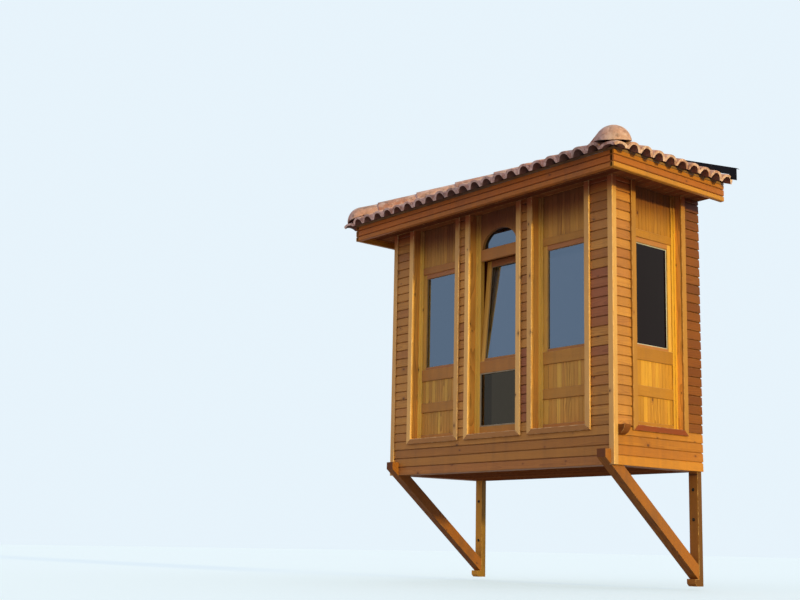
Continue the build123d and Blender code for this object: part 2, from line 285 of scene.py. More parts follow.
def partsOf(vector):
    return follow("ShaderNodeSeparateXYZ", {0: vector})


def ease(value, low, high, toLow=0.0, toHigh=1.0):
    inputs = {0: value, 1: low, 2: high, 3: toLow, 4: toHigh}
    return follow("ShaderNodeMapRange", inputs, interpolation_type="SMOOTHSTEP", clamp=True)[0]


def blend(factor, a, b, kind="MIX"):
    return follow("ShaderNodeMix", {0: factor, 6: a, 7: b}, data_type="RGBA", blend_type=kind)[2]


def noise(vector, scale=1.0, detail=2.0, roughness=0.5, stretch=None):
    if stretch:
        vector = vectorNode("MULTIPLY", vector, stretch)
    inputs = {"Vector": vector, "Scale": scale, "Detail": detail, "Roughness": roughness}
    return follow("ShaderNodeTexNoise", inputs)[0]


def bump(height, strength, distance):
    return follow("ShaderNodeBump", {"Height": height, "Strength": strength, "Distance": distance})[0]


def newGroup(name, inputs, outputs=("Color",)):
    group = bpy.data.node_groups.new(name, "ShaderNodeTree")
    kinds = {type(None): "Vector", float: "Float", tuple: "Color"}
    for label, value in inputs.items():
        socket = group.interface.new_socket(label, in_out="INPUT", socket_type="NodeSocket" + kinds[type(value)])
        if value is not None:
            socket.default_value = value
    for label in outputs:
        kind = "Color" if label == "Color" else "Float"
        group.interface.new_socket(label, in_out="OUTPUT", socket_type="NodeSocket" + kind)
    return group, put(group, "NodeGroupInput").outputs, put(group, "NodeGroupOutput")


def useGroup(group, inputs):
    return follow("ShaderNodeGroup", inputs, node_tree=group)


grey, white = (0.5, 0.5, 0.5, 1), (1, 1, 1, 1)
grainSpec = {"slow": (1.1, 6.0, 6.0), "streak": (5.0, 260.0, 260.0), "blotch": (1.6, 11.0, 11.0), "bend": 0.075,
             "knotCells": (1.9, 7.5, 0.0), "knotStretch": (0.33, 0.133, 0.0), "knotSize": 0.0085, "knotSwirl": 0.013,
             "haloColor": (0.23, 0.07, 0.018, 1), "knotColor": (0.09, 0.028, 0.01, 1)}


def woodFigureGroup():
    spec = grainSpec
    tree, given, out = newGroup("woodFigure", {
        "Grain": None, "Tone": 0.5, "Honey": (0.58, 0.22, 0.045, 1), "Brown": (0.4, 0.15, 0.04, 1),
        "Red": (0.36, 0.1, 0.03, 1), "Ring Width": 0.006, "Contrast": 0.5, "Knots": 0.6,
    }, ("Color", "Height", "Roughness"))
    grain, tone = given["Grain"], given["Tone"]
    slow = noise(grain, stretch=spec["slow"])
    streak = noise(grain, 1.0, 3.0, 0.6, spec["streak"])
    blotch = noise(grain, 1.0, 3.0, 0.55, spec["blotch"])
    cells = vectorNode("MULTIPLY", grain, spec["knotCells"])  # one knot at most in each long cell
    cell = follow("ShaderNodeTexVoronoi", {"Vector": cells, "Scale": 1.0}, voronoi_dimensions="2D")
    away = partsOf(vectorNode("MULTIPLY", vectorNode("SUBTRACT", cells, cell["Position"]), spec["knotStretch"]))
    distance = plus(distanceOf(away[0], away[1]), times(minus(blotch, 0.5), 0.006))
    chance = partsOf(cell["Color"])
    present = ease(plus(chance[0], given["Knots"]), 0.99, 1.01)
    share = over(distance, times(plus(0.45, chance[1]), spec["knotSize"]))
    core = times(present, ease(share, 0.75, 1.05, 1.0, 0.0))
    halo = times(present, ease(share, 0.8, 3.4, 1.0, 0.0))
    bend = times(minus(slow, 0.5), spec["bend"])
    local = partsOf(grain)
    radius = distanceOf(plus(local[1], bend), plus(local[2], times(bend, 0.7)))
    ring = mathNode("FRACT", over(plus(radius, times(halo, spec["knotSwirl"])), given["Ring Width"]))
    late = times(mathNode("POWER", ring, 2.4), ease(ring, 0.93, 1.0, 1.0, 0.0))
    spread = mathNode("FRACT", times(tone, 7.31))
    ground = blend(ease(tone, 0.45, 0.8), given["Honey"], given["Brown"])
    ground = blend(ease(tone, 0.82, 0.95), ground, given["Red"])
    level = plus(0.72, times(spread, 0.26), times(blotch, 0.26))
    level = times(level, plus(0.86, times(streak, 0.28)), minus(1.06, times(late, given["Contrast"])))
    channels = {0: level, 1: mathNode("POWER", level, 1.25), 2: mathNode("POWER", level, 1.35)}
    color = blend(1.0, ground, follow("ShaderNodeCombineXYZ", channels)[0], "MULTIPLY")
    color = blend(times(halo, 0.38), color, spec["haloColor"])
    color = blend(times(core, 0.78), color, spec["knotColor"])
    height = plus(minus(times(streak, 0.55), times(late, 0.45)), times(core, 0.3))
    wire(out, {"Color": color, "Height": height, "Roughness": plus(0.4, times(plus(blotch, streak), 0.11))})
    return tree


# paints shade by the way a face looks: faces turned along x are multiplied by the Side Tint, and faces in front of End
# Y by the End Tint
def paintedFaceShadeGroup():
    tree, given, out = newGroup("paintedFaceShade", {
        "Color": grey, "Facing": None, "Place": None, "Side Tint": white, "End Tint": white, "End Y": -9.0})
    sideways = ease(mathNode("ABSOLUTE", partsOf(given["Facing"])[0]), 0.45, 0.8)
    color = blend(sideways, given["Color"], given["Side Tint"], "MULTIPLY")
    atEnd = mathNode("LESS_THAN", partsOf(given["Place"])[1], given["End Y"])
    wire(out, {"Color": blend(atEnd, color, given["End Tint"], "MULTIPLY")})
    return tree


def paintedEavesShadeGroup():  # painted eaves shade: timber close below the soffit is made darker and redder
    tree, given, out = newGroup("paintedEavesShade", {"Color": grey, "Place": None, "Reach": 0.22, "Shade": white})
    below = minus(soffitZ, partsOf(given["Place"])[2])
    near = ease(over(below, given["Reach"]), 0.2, 1.0, 1.0, 0.0)
    wire(out, {"Color": blend(near, given["Color"], given["Shade"], "MULTIPLY")})
    return tree


def edgeWearGroup():
    tree, given, out = newGroup("edgeWear", {
        "Color": grey, "Wear": 0.0, "Place": None, "Worn Color": (0.62, 0.34, 0.13, 1), "Strength": 0.5})
    patchy = ease(noise(given["Place"], 24.0, 3.0, 0.6), 0.35, 0.68)
    amount = times(patchy, given["Wear"], given["Strength"])
    sunk = times(given["Wear"], -0.85, clamp=True)  # negative wear darkens joint and groove faces towards near black: dirt with painted shade
    color = blend(sunk, given["Color"], (0.045, 0.02, 0.01, 1))
    wire(out, {"Color": blend(plus(amount, 0.0, clamp=True), color, given["Worn Color"])})
    return tree


def grimeGroup():
    tree, given, out = newGroup("grime", {
        "Color": grey, "Place": None, "Facing": None, "Amount": 0.4, "Dust": 0.3,
        "Grime Color": (0.09, 0.055, 0.04, 1), "Dust Color": (0.32, 0.27, 0.22, 1)}, ("Color", "Mask"))
    cloud = noise(given["Place"], 1.7, 5.0, 0.62)
    runs = noise(given["Place"], 1.0, 3.0, 0.55, (16.0, 16.0, 1.3))
    mask = times(ease(plus(cloud, times(runs, 0.6)), 0.68, 1.1), given["Amount"])
    dusty = times(ease(partsOf(given["Facing"])[2], 0.35, 0.95), ease(runs, 0.2, 0.7), given["Dust"])
    color = blend(mask, given["Color"], given["Grime Color"])
    wire(out, {"Color": blend(dusty, color, given["Dust Color"]), "Mask": plus(mask, dusty, clamp=True)})
    return tree


woodFigure, paintedFaceShade, paintedEavesShade = woodFigureGroup(), paintedFaceShadeGroup(), paintedEavesShadeGroup()
edgeWear, grime = edgeWearGroup(), grimeGroup()


def newMaterial(name):
    material = bpy.data.materials.new(name)
    material.use_nodes = True
    return material, material.node_tree, material.node_tree.nodes["Principled BSDF"]


def placeAndFacing(tree):
    return put(tree, "ShaderNodeTexCoord").outputs["Object"], put(tree, "ShaderNodeNewGeometry").outputs["Normal"]


def ownFigure(tree):
    kinds = (("grain", "Vector"), ("tone", "Fac"), ("wear", "Fac"))
    return [put(tree, "ShaderNodeAttribute", attribute_name=key).outputs[kind] for key, kind in kinds]


def timber(name, look, ownGrain=True):
    material, tree, surface = newMaterial(name)
    place, facing = placeAndFacing(tree)
    # a CAD piece has no grain of its own, so it takes the frame's axes
    grain, tone, wear = ownFigure(tree) if ownGrain else (place, noise(place, 0.8), 0.0)
    figure = useGroup(woodFigure, {
        "Grain": grain, "Tone": tone, "Honey": look["honey"], "Brown": look["brown"], "Red": look["red"],
        "Ring Width": look["ringWidth"], "Contrast": look["contrast"], "Knots": look["knots"]})
    # painted shade on sideways faces and on front end faces
    sided = useGroup(paintedFaceShade, {"Color": figure["Color"], "Facing": facing, "Place": place,
                                   "Side Tint": look["side"], "End Tint": look["end"], "End Y": look["endY"]})
    # painted eaves shade close below the soffit
    shaded = useGroup(paintedEavesShade, {"Color": sided["Color"], "Place": place, "Reach": look["reach"],
                                  "Shade": look["shade"]})
    worn = useGroup(edgeWear, {"Color": shaded["Color"], "Wear": wear, "Place": place,
                               "Worn Color": look["worn"], "Strength": look["wear"]})
    aged = useGroup(grime, {"Color": worn["Color"], "Place": place, "Facing": facing,
                            "Amount": look["grime"], "Dust": look["dust"]})
    rough = plus(figure["Roughness"], times(aged["Mask"], 0.3), clamp=True)
    wire(surface, {"Base Color": aged["Color"], "Roughness": rough,
                   "Normal": bump(figure["Height"], look["bump"], 0.0007), "Specular IOR Level": look["shine"],
                   "Coat Weight": look["varnish"], "Coat Roughness": 0.3})
    return material


pineLook = {
    "honey": (0.60, 0.245, 0.040, 1), "brown": (0.50, 0.185, 0.036, 1), "red": (0.42, 0.125, 0.032, 1),
    "worn": (0.68, 0.38, 0.13, 1), "ringWidth": 0.0062, "contrast": 0.36, "knots": 0.42,
    "wear": 0.6, "grime": 0.22, "dust": 0.25, "bump": 0.35, "varnish": 0.04, "shine": 0.2,
    "side": white, "end": white, "endY": -9.0, "reach": 0.2, "shade": white,
}
# painted eaves shade: the colour multiplied into timber close below the soffit and how far down it reaches, flush with
# the wall or deep in a bay
flushShade = {"shade": (0.54, 0.27, 0.3, 1), "reach": 0.18}
deepShade = {"shade": (0.36, 0.24, 0.42, 1), "reach": 0.36}
calm = {"contrast": 0.3, "knots": 0.3}
plain = {"shine": 0.0, "varnish": 0.0}


def pine(name, honey, brown, red, **changes):
    look = {"honey": (*honey, 1), "brown": (*brown, 1), "red": (*red, 1)}
    return timber(name, pineLook | look | changes)


sidingPine = pine("sidingPine", (0.55, 0.228, 0.042), (0.46, 0.172, 0.038), (0.33, 0.10, 0.036), **calm, **flushShade)
apronPine = pine("apronPine", (0.48, 0.19, 0.035), (0.42, 0.15, 0.033), (0.34, 0.10, 0.03), **calm)
sideApronPine = pine("sideApronPine", (0.52, 0.195, 0.024), (0.45, 0.155, 0.022), (0.36, 0.11, 0.02), **calm, shine=0.1)
# a dark brown that paints the shadow falling on the rear piers beside the wall
shadedRearPine = pine("shadedRearPine", (0.225, 0.064, 0.006), (0.19, 0.052, 0.005), (0.165, 0.042, 0.005), **calm, shine=0.1,
                **flushShade)
trimPine = pine("trimPine", (0.84, 0.44, 0.125), (0.60, 0.308, 0.09), (0.48, 0.20, 0.05), grime=0.12, knots=0.25,
                worn=(0.95, 0.62, 0.28, 1), wear=0.75, **flushShade)
casingPine = pine("casingPine", (0.46, 0.205, 0.036), (0.40, 0.155, 0.03), (0.30, 0.06, 0.008), grime=0.16, knots=0.3,
                  worn=(0.8, 0.45, 0.14, 1), shine=0.12, **flushShade)
liningPine = pine("liningPine", (0.92, 0.43, 0.066), (0.86, 0.38, 0.06), (0.75, 0.3, 0.05), knots=0.55, **deepShade)
framePine = pine("framePine", (0.95, 0.57, 0.085), (0.61, 0.275, 0.047), (0.42, 0.135, 0.04), contrast=0.42, knots=0.12,
                 **deepShade)
sideFramePine = pine("sideFramePine", (0.78, 0.41, 0.042), (0.55, 0.24, 0.029), (0.22, 0.08, 0.016), contrast=0.42,
                     knots=0.12, shine=0.12, **deepShade)
sashPine = pine("sashPine", (0.66, 0.34, 0.06), (0.50, 0.20, 0.05), (0.42, 0.15, 0.05), grime=0.12, **deepShade)
eavesPine = pine("eavesPine", (0.47, 0.145, 0.024), (0.46, 0.112, 0.016), (0.40, 0.096, 0.014), knots=0.6, grime=0.3,
                 shine=0.12)
sideEavesPine = pine("sideEavesPine", (0.52, 0.21, 0.027), (0.42, 0.125, 0.019), (0.40, 0.11, 0.016), knots=0.55,
                     grime=0.3, shine=0.12)
# dark boards that paint the shade under the eaves
soffitPine = pine("soffitPine", (0.22, 0.066, 0.02), (0.19, 0.055, 0.018), (0.16, 0.042, 0.015), **plain)
# the front end faces of the struts get a painted shade
bracketPine = pine("bracketPine", (0.36, 0.12, 0.017), (0.30, 0.094, 0.016), (0.25, 0.076, 0.014), ringWidth=0.005,
                   grime=0.35, varnish=0.0, shine=0.15, end=(0.5, 0.4, 0.5, 1),
                   endY=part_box("right_strut")[0].y + 0.0015)
# the posts' sideways faces get a painted shade, and the brighter honey of their front faces paints light thrown on them
postPine = pine("postPine", (0.78, 0.34, 0.037), (0.42, 0.145, 0.021), (0.37, 0.12, 0.018), side=(0.34, 0.37, 0.42, 1),
                grime=0.3, varnish=0.0, shine=0.15)
# dark boards that paint the shade under the floor
undersidePine = pine("undersidePine", (0.21, 0.055, 0.015), (0.18, 0.046, 0.013), (0.15, 0.036, 0.011), **plain)
# a darker pine inside, partly the boards' own colour and partly painted shade of the closed room
innerPine = pine("innerPine", (0.34, 0.15, 0.05), (0.29, 0.12, 0.04), (0.25, 0.1, 0.036), varnish=0.0)
roughLook = {"honey": (0.30, 0.15, 0.06, 1), "brown": (0.24, 0.11, 0.045, 1), "grime": 0.5}
roughPine = timber("roughPine", pineLook | roughLook, ownGrain=False)
print("timber finishes made")


# Walls: shiplap outside, a core, and boards inside

wallSpec = {
    "pitch": 0.085, "face": 0.0752, "lean": 0.003, "tongue": 0.0135, "thick": 0.02, "chamfer": 0.003, "foot": 0.006,
    "slack": 0.001, "seam": 0.0005, "leastRow": 0.012, "coreBack": 0.131, "wallBack": 0.15, "innerPitch": 0.11,
    "jointWear": 0.5, "bevel": 0.0006, "innerBevel": 0.002, "apronRise": 0.004, "apronGap": 0.001, "pierStart": 0.336,
    "redTones": (0.85, 0.95), "tones": (0.0, 0.84), "innerTones": (0.2, 0.8),
    "middleReds": ((0.3, 0.95),), "cornerReds": ((1.02, 1.56), (0.76, 0.9)),  # heights of the reddish boards
}


def rowStarts(v0, v1, least):  # the lower edges of the siding boards between two heights
    row = ceil((v0 - baseZ) / wallSpec["pitch"] - 0.1)
    while baseZ + row * wallSpec["pitch"] < v1 - least:
        yield baseZ + row * wallSpec["pitch"]
        row += 1


def addSiding(store, place, across, up, redRows):
    spec = wallSpec
    face, tongue, pitch, thick, foot = (spec[key] for key in ("face", "tongue", "pitch", "thick", "foot"))
    rest = tongue + spec["slack"]
    outline = [(0, 0), (spec["lean"], face), (tongue, face), (tongue, pitch), (thick, pitch), (thick, foot),
               (rest, foot), (rest, 0)]
    for start in rowStarts(*up, spec["leastRow"]):
        red = any(low < start < high for low, high in redRows)
        tones = spec["redTones" if red else "tones"]
        profile = [(w, min(v, up[1] - start)) for w, v in outline]
        addRun(store, place @ Matrix.Translation((0, start, 0)), profile, across, "u", spec["chamfer"], (0, 1), tones,
               spec["bevel"], spec["jointWear"])


def addWall(store, place, outside, inside, core=None, heights=((liningZ, soffitZ), (liningZ, soffitZ)), redRows=()):
    spec = wallSpec
    addSiding(store, place, outside, heights[0], redRows)
    addBoard(store, place, core or inside, heights[1], (spec["thick"] + spec["seam"], spec["coreBack"]))
    deep = (spec["coreBack"] + spec["seam"], spec["wallBack"])
    for up in evenRows(*heights[1], spec["innerPitch"]):
        addBoard(store, place, inside, up, deep, "u", spec["innerBevel"], True, spec["innerTones"])


frontWall = planeOf((0, sidingY, 0), (1, 0, 0))
sideWalls = {sign: planeOf((sign * sidingX, 0, 0), (0, sign, 0)) for sign in (1, -1)}
coreX, coreY = sidingX - wallSpec["thick"], sidingY + wallSpec["thick"]
apronHeights = ((baseZ, liningZ + wallSpec["apronRise"]), (baseZ + wallSpec["apronGap"], liningZ))

store = newStore()
addWall(store, frontWall, (-sidingX, sidingX), (-innerX, innerX), (-coreX, coreX), apronHeights)
makePiece("frontApron", store, apronPine, "front_apron")

store = newStore()
for sign, place in sideWalls.items():
    addWall(store, place, mirrored(sign, coreY, 0), mirrored(sign, innerY, 0), None, apronHeights)
makePiece("sideAprons", store, sideApronPine, "side_aprons")

store = newStore()
pierEnds = (wallSpec["pierStart"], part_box("middle_piers")[1].x)
for sign, redRows in ((1, wallSpec["middleReds"]), (-1, ())):
    ends = mirrored(sign, *pierEnds)
    addWall(store, frontWall, ends, ends, redRows=redRows)
makePiece("middlePiers", store, sidingPine, "middle_piers")

for side, sign, redRows in (("right", 1, wallSpec["cornerReds"]), ("left", -1, ())):
    store = newStore()
    low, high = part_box(side + "_corner_pier")
    reveal = low.x if sign > 0 else high.x
    outside, inside, core = (sorted((reveal, sign * end)) for end in (sidingX, innerX, coreX))
    addWall(store, frontWall, outside, inside, core, redRows=redRows)
    addWall(store, sideWalls[sign], mirrored(sign, coreY, high.y), mirrored(sign, innerY, high.y))
    makePiece(side + "CornerPier", store, sidingPine, side + "_corner_pier")

store = newStore()
for sign, place in sideWalls.items():
    ends = mirrored(sign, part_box("rear_piers")[0].y, 0)
    addWall(store, place, ends, ends)
makePiece("rearPiers", store, shadedRearPine, "rear_piers")

trimSpec = {"width": 0.056, "bevel": 0.003, "frontTones": (0.1, 0.6), "sideTones": (0.62, 0.8)}
store = newStore()
low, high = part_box("corner_trims")
for sign, sideWall in sideWalls.items():
    for place, ends, tones in ((frontWall, (high.x - trimSpec["width"], high.x), trimSpec["frontTones"]),
                               (sideWall, (sidingY, low.y + trimSpec["width"]), trimSpec["sideTones"])):
        addBoard(store, place, mirrored(sign, *ends), (baseZ, soffitZ), (sidingX - high.x, 0), "v", trimSpec["bevel"],
                 tones=tones)
makePiece("cornerTrims", store, trimPine, "corner_trims")

nailSpec = {"radius": 0.0023, "depth": 0.004, "bevel": 0.0004, "margin": 0.03, "spacing": 0.45, "rise": 0.022,
            "sides": 8, "waver": 0.004, "leastRow": 0.04, "apronDrop": 0.06, "pierDrop": 0.05, "trim": 0.046,
            "frontStrip": (0.378, 0.464), "cornerStrip": 1.220, "sideStrips": ((-1.171, -0.978), (-0.222, 0))}
nails = newStore()


def circleOutline(radius, sides):
    return [(radius * cos(2 * pi * i / sides), radius * sin(2 * pi * i / sides)) for i in range(sides)]


def addNails(place, across, up):
    spec = nailSpec
    inside = across[1] - across[0] - 2 * spec["margin"]
    count = max(1, round(inside / spec["spacing"]))
    for start in rowStarts(*up, spec["leastRow"]):
        for i in range(count + 1):
            u = across[0] + spec["margin"] + inside * i / count + dice.uniform(-spec["waver"], spec["waver"])
            ring = [(u + x, start + spec["rise"] + y) for x, y in circleOutline(spec["radius"], spec["sides"])]
            addPrism(nails, ring, place, 0, spec["depth"], bevel=spec["bevel"])


apronUp, pierUp = (baseZ, sillZ - nailSpec["apronDrop"]), (sillZ - nailSpec["pierDrop"], soffitZ)
trimX = sidingX - nailSpec["trim"]
addNails(frontWall, (-trimX, trimX), apronUp)
for strip in (nailSpec["frontStrip"], (nailSpec["cornerStrip"], trimX)):
    for sign in (1, -1):
        addNails(frontWall, mirrored(sign, *strip), pierUp)
foreStrip, rearStrip = nailSpec["sideStrips"]
for sign, place in sideWalls.items():
    for strip, up in (((foreStrip[0], 0), apronUp), (foreStrip, pierUp), (rearStrip, pierUp)):
        addNails(place, mirrored(sign, *strip), up)
print("walls boarded")


# Window bays, drawn on their own plane: u across, v up, w in from the siding

baySpec = {
    "half": 0.318, "casing": 0.06, "proud": 0.018, "sillCasing": 0.051, "lining": liningThick, "jamb": 0.052,
    "bottomRail": 0.04, "lowRail": (0.266, 0.358), "midRail": (0.583, 0.696), "sashTop": 1.681, "headTop": 1.751,
    "frameDepth": 0.06, "rebate": 0.014, "lip": 0.012, "setback": 0.012, "panel": 0.02,
    "beadWidth": 0.025, "beadProud": 0.008, "uprightTones": (0, 0.35), "railTones": (0.82, 0.89),
    "panelTones": (0.65, 0.82), "casingTones": (0, 0.6), "sillTones": (0.97, 1.0), "liningTones": (0, 0.7),
    "casingBevel": 0.004, "sillBevel": 0.005, "beadBevel": 0.002, "jambBevels": (0.0025, 0.0004), "railChamfer": 0.0028,
    "center": 0.842,
}
sashSpec = {"depth": 0.044, "clearance": 0.002, "stile": 0.046, "top": 0.045, "bottom": 0.025, "glass": 0.015,
            "lap": 0.01, "beadSeat": 0.0205, "beadCover": 0.004, "gasketThick": 0.0022, "gasketLap": 0.002,
            "chamfer": 0.003, "railTones": (0.82, 1.0), "beadBevel": 0.001, "gasketBevel": 0.0006}
# the staves' joint bevels are darkened: dirt with painted shade
staveSpec = {"widths": (0.034, 0.062), "last": 0.1, "split": 0.07, "bevel": 0.0024, "jointDirtAndShade": -0.2}
frontBay = {"recess": 0.08, "topTones": (0.72, 0.86), "gasket": 0.005, "timber": framePine,
            "casings": newStore(), "gaskets": newStore()}
# the side bays' top panels take darker, redder tones: wood colour with painted shade from the eaves
sideBay = {"recess": 0.06, "topTones": (0.82, 0.89), "gasket": 0.009, "timber": sideFramePine,
           "casings": newStore(), "gaskets": newStore()}
sashTop, midRail = sillZ + baySpec["sashTop"], [sillZ + v for v in baySpec["midRail"]]


def addStaves(store, place, across, up, deep, tones):
    edges, end = [across[0]], across[1]
    while end - edges[-1] > staveSpec["last"]:
        edges.append(edges[-1] + dice.uniform(*staveSpec["widths"]))
    if end - edges[-1] > staveSpec["split"]:
        edges.append((edges[-1] + end) / 2)
    edges.append(end)
    for ends in zip(edges, edges[1:]):
        addBoard(store, place, ends, up, deep, "v", staveSpec["bevel"], True, tones, edge=staveSpec["jointDirtAndShade"])


def addRim(store, place, half, up, inward, outward, deep, bevel, bothEnds=False):  # four strips round an opening
    low, high = up
    for sign in (1, -1):
        across = mirrored(sign, half - inward, half + outward)
        addBoard(store, place, across, (low - outward, high + outward), deep, "v", bevel, bothEnds)
    for ends in ((low - outward, low + inward), (high - inward, high + outward)):
        addBoard(store, place, (inward - half, half - inward), ends, deep, "u", bevel, bothEnds)


def addCasing(store, place):
    half, wide = baySpec["half"], baySpec["half"] + baySpec["casing"]
    low, proud = sillZ - baySpec["sillCasing"], -baySpec["proud"]
    for sign in (1, -1):
        outline = [(sign * half, sillZ), (sign * wide, low), (sign * wide, soffitZ), (sign * half, soffitZ)]
        addPrism(store, outline, place, proud, 0, (1, 0, 2), baySpec["casingBevel"], tones=baySpec["casingTones"])
    outline = [(-wide, low), (wide, low), (half, sillZ), (-half, sillZ)]
    addPrism(store, outline, place, proud, 0, (0, 1, 2), baySpec["sillBevel"], tones=baySpec["sillTones"])


def addLining(store, place, recess):
    half, rough = baySpec["half"], baySpec["half"] + baySpec["lining"]
    deep = (wallSpec["seam"], recess + baySpec["frameDepth"])
    addBoard(store, place, (-rough, rough), (liningZ, sillZ), deep, grain=(0, 2, 1))
    for sign in (1, -1):
        addBoard(store, place, mirrored(sign, half, rough), (sillZ, soffitZ), deep, grain=(1, 2, 0),
                 tones=baySpec["liningTones"])


def addBeads(store, place, recess):
    half, deep = baySpec["half"], (recess - baySpec["beadProud"], recess)
    for sign in (1, -1):
        addBoard(store, place, mirrored(sign, half, half - baySpec["beadWidth"]), (sillZ, soffitZ), deep, "v",
                 baySpec["beadBevel"], tones=baySpec["uprightTones"])


def addJambs(store, place, recess, clear, notches):
    half, lip, depth, bevels = (baySpec[key] for key in ("half", "lip", "frameDepth", "jambBevels"))
    for sign in (1, -1):
        figure = newFigure(*baySpec["uprightTones"])
        for near, far, cutouts, bevel in ((0, lip, (), bevels[0]), (lip, depth, notches, bevels[1])):
            steps = [(clear, sillZ)]
            for low, high, deep in cutouts:
                steps += [(clear, low), (clear + deep, low), (clear + deep, high), (clear, high)]
            steps += [(clear, soffitZ), (half, soffitZ), (half, sillZ)]
            addPrism(store, [(sign * u, v) for u, v in steps], place, recess + near, recess + far, (1, 0, 2), bevel,
                     far == depth, figure=figure)


def addRail(store, place, recess, clear, up, rebates=(0, 0), lip=baySpec["lip"], tones=baySpec["railTones"]):
    (low, high), (below, above), depth = up, rebates, baySpec["frameDepth"]
    points = [(0, low), (0, high)]
    points += [(lip, high), (lip, high - above), (depth, high - above)] if above else [(depth, high)]
    points += [(depth, low + below), (lip, low + below), (lip, low)] if below else [(depth, low)]
    profile = [(recess + w, v) for w, v in points]
    addRun(store, place, profile, (-clear, clear), "u", baySpec["railChamfer"], (0, 1), tones)


def addSash(store, place, bay, half):
    spec, rebate = sashSpec, baySpec["rebate"]
    near = bay["recess"] + baySpec["lip"]
    back = near + spec["depth"]
    wide = half + rebate - spec["clearance"]
    bottom, top = midRail[1] - rebate, sashTop + rebate - spec["clearance"]
    clear, low, high = half - spec["stile"], midRail[1] + spec["bottom"], sashTop - spec["top"]
    seat, glass, lap = clear + spec["lap"], near + spec["glass"], spec["lap"]
    for sign in (1, -1):
        profile = [(clear, near), (wide, near), (wide, back), (seat, back), (seat, glass), (clear, glass)]
        addRun(store, place, [(sign * u, w) for u, w in profile], (bottom, top), "v", spec["chamfer"], (0, 1),
               baySpec["uprightTones"])
    for inner, outer, shelf in ((low, bottom, low - lap), (high, top, high + lap)):
        profile = [(near, inner), (near, outer), (back, outer), (back, shelf), (glass, shelf), (glass, inner)]
        addRun(store, place, profile, (-clear, clear), "u", spec["chamfer"], (0,), spec["railTones"])
    addRim(store, place, clear, (low, high), spec["beadCover"], lap, (glass + spec["beadSeat"], back),
           spec["beadBevel"], True)
    addRim(bay["gaskets"], place, clear, (low, high), bay["gasket"], spec["gasketLap"],
           (glass - spec["gasketThick"], glass), spec["gasketBevel"])


def makeFrame(name, node, bay, frameStore, place):
    liningStore = newStore()
    addLining(liningStore, place, bay["recess"])
    addBeads(frameStore, place, bay["recess"])
    makePiece(name + "Frame", frameStore, bay["timber"], node)
    makePiece(name + "FrameLining", liningStore, liningPine, node)


def makeCasement(name, node, place, bay):
    spec, recess, store = baySpec, bay["recess"], newStore()
    clear, rebate = spec["half"] - spec["jamb"], spec["rebate"]
    lowRail = [sillZ + v for v in spec["lowRail"]]
    bottomRail, headTop = sillZ + spec["bottomRail"], sillZ + spec["headTop"]
    addJambs(store, place, recess, clear, [(midRail[1] - rebate, sashTop + rebate, rebate)])
    addRail(store, place, recess, clear, (sillZ, bottomRail))
    addRail(store, place, recess, clear, lowRail)
    addRail(store, place, recess, clear, midRail, (0, rebate))
    addRail(store, place, recess, clear, (sashTop, headTop), (rebate, 0))
    near = recess + spec["setback"]
    for low, high, tones in ((bottomRail, lowRail[0], spec["panelTones"]), (lowRail[1], midRail[0], spec["panelTones"]),
                             (headTop, soffitZ, bay["topTones"])):
        addStaves(store, place, (-clear, clear), (low, high), (near, near + spec["panel"]), tones)
    makeFrame(name, node + "_frame", bay, store, place)
    store = newStore()
    addSash(store, place, bay, clear)
    makePiece(name + "Sash", store, sashPine, node + "_sash")


sideY = sum(corner.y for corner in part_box("side_casings")) / 2
addCasing(frontBay["casings"], frontWall)
for name, node, sign, bay in (("rightFront", "right_front", 1, frontBay), ("leftFront", "left_front", -1, frontBay),
                              ("rightSide", "right_side", 1, sideBay), ("leftSide", "left_side", -1, sideBay)):
    place = (planeOf((sign * baySpec["center"], sidingY, 0), (1, 0, 0)) if bay is frontBay
             else planeOf((sign * sidingX, sideY, 0), (0, sign, 0)))
    addCasing(bay["casings"], place)
    makeCasement(name, node, place, bay)
makePiece("frontCasings", frontBay["casings"], trimPine, "front_casings")
makePiece("sideCasings", sideBay["casings"], casingPine, "side_casings")
print("casement bays built")


# Middle bay: fixed pane below, tilted sash, arched fanlight above the transom

archSpec = {"jamb": 0.066, "bottomRail": 0.071, "paneLip": 0.015, "paneLap": 0.012, "fanLip": 0.034,
            "transomTop": 1.793, "halfSpan": 0.233, "rise": 0.182, "paneBead": 0.012, "steps": 14,
            "joints": (-0.168, -0.071, 0.028, 0.117, 0.19), "tones": (0.82, 0.89), "railTones": (0.8, 0.9),
            "bevels": (0.0006, 0.0002), "beadSetback": 0.002, "beadGap": 0.0004, "beadBevel": 0.003}
clear, lap, rebate = baySpec["half"] - archSpec["jamb"], archSpec["paneLap"], baySpec["rebate"]
paneLow, transomTop, recess = sillZ + archSpec["bottomRail"], sillZ + archSpec["transomTop"], frontBay["recess"]


def addArchBoards(store, near, far, a, b, grow, bevel, figure):
    span, rise = archSpec["halfSpan"] + grow, archSpec["rise"] + grow
    under = [a + (b - a) * i / archSpec["steps"] for i in range(archSpec["steps"] + 1)]
    under = sorted(set(under + [s for s in (-span, span) if a < s < b]))
    lower = [(u, transomTop + rise * sqrt(max(0.0, 1 - (u / span) ** 2)) if abs(u) < span else transomTop - grow)
             for u in under]
    addPrism(store, lower + [(b, soffitZ), (a, soffitZ)], frontWall, recess + near, recess + far, (1, 0, 2), bevel,
             figure=figure)


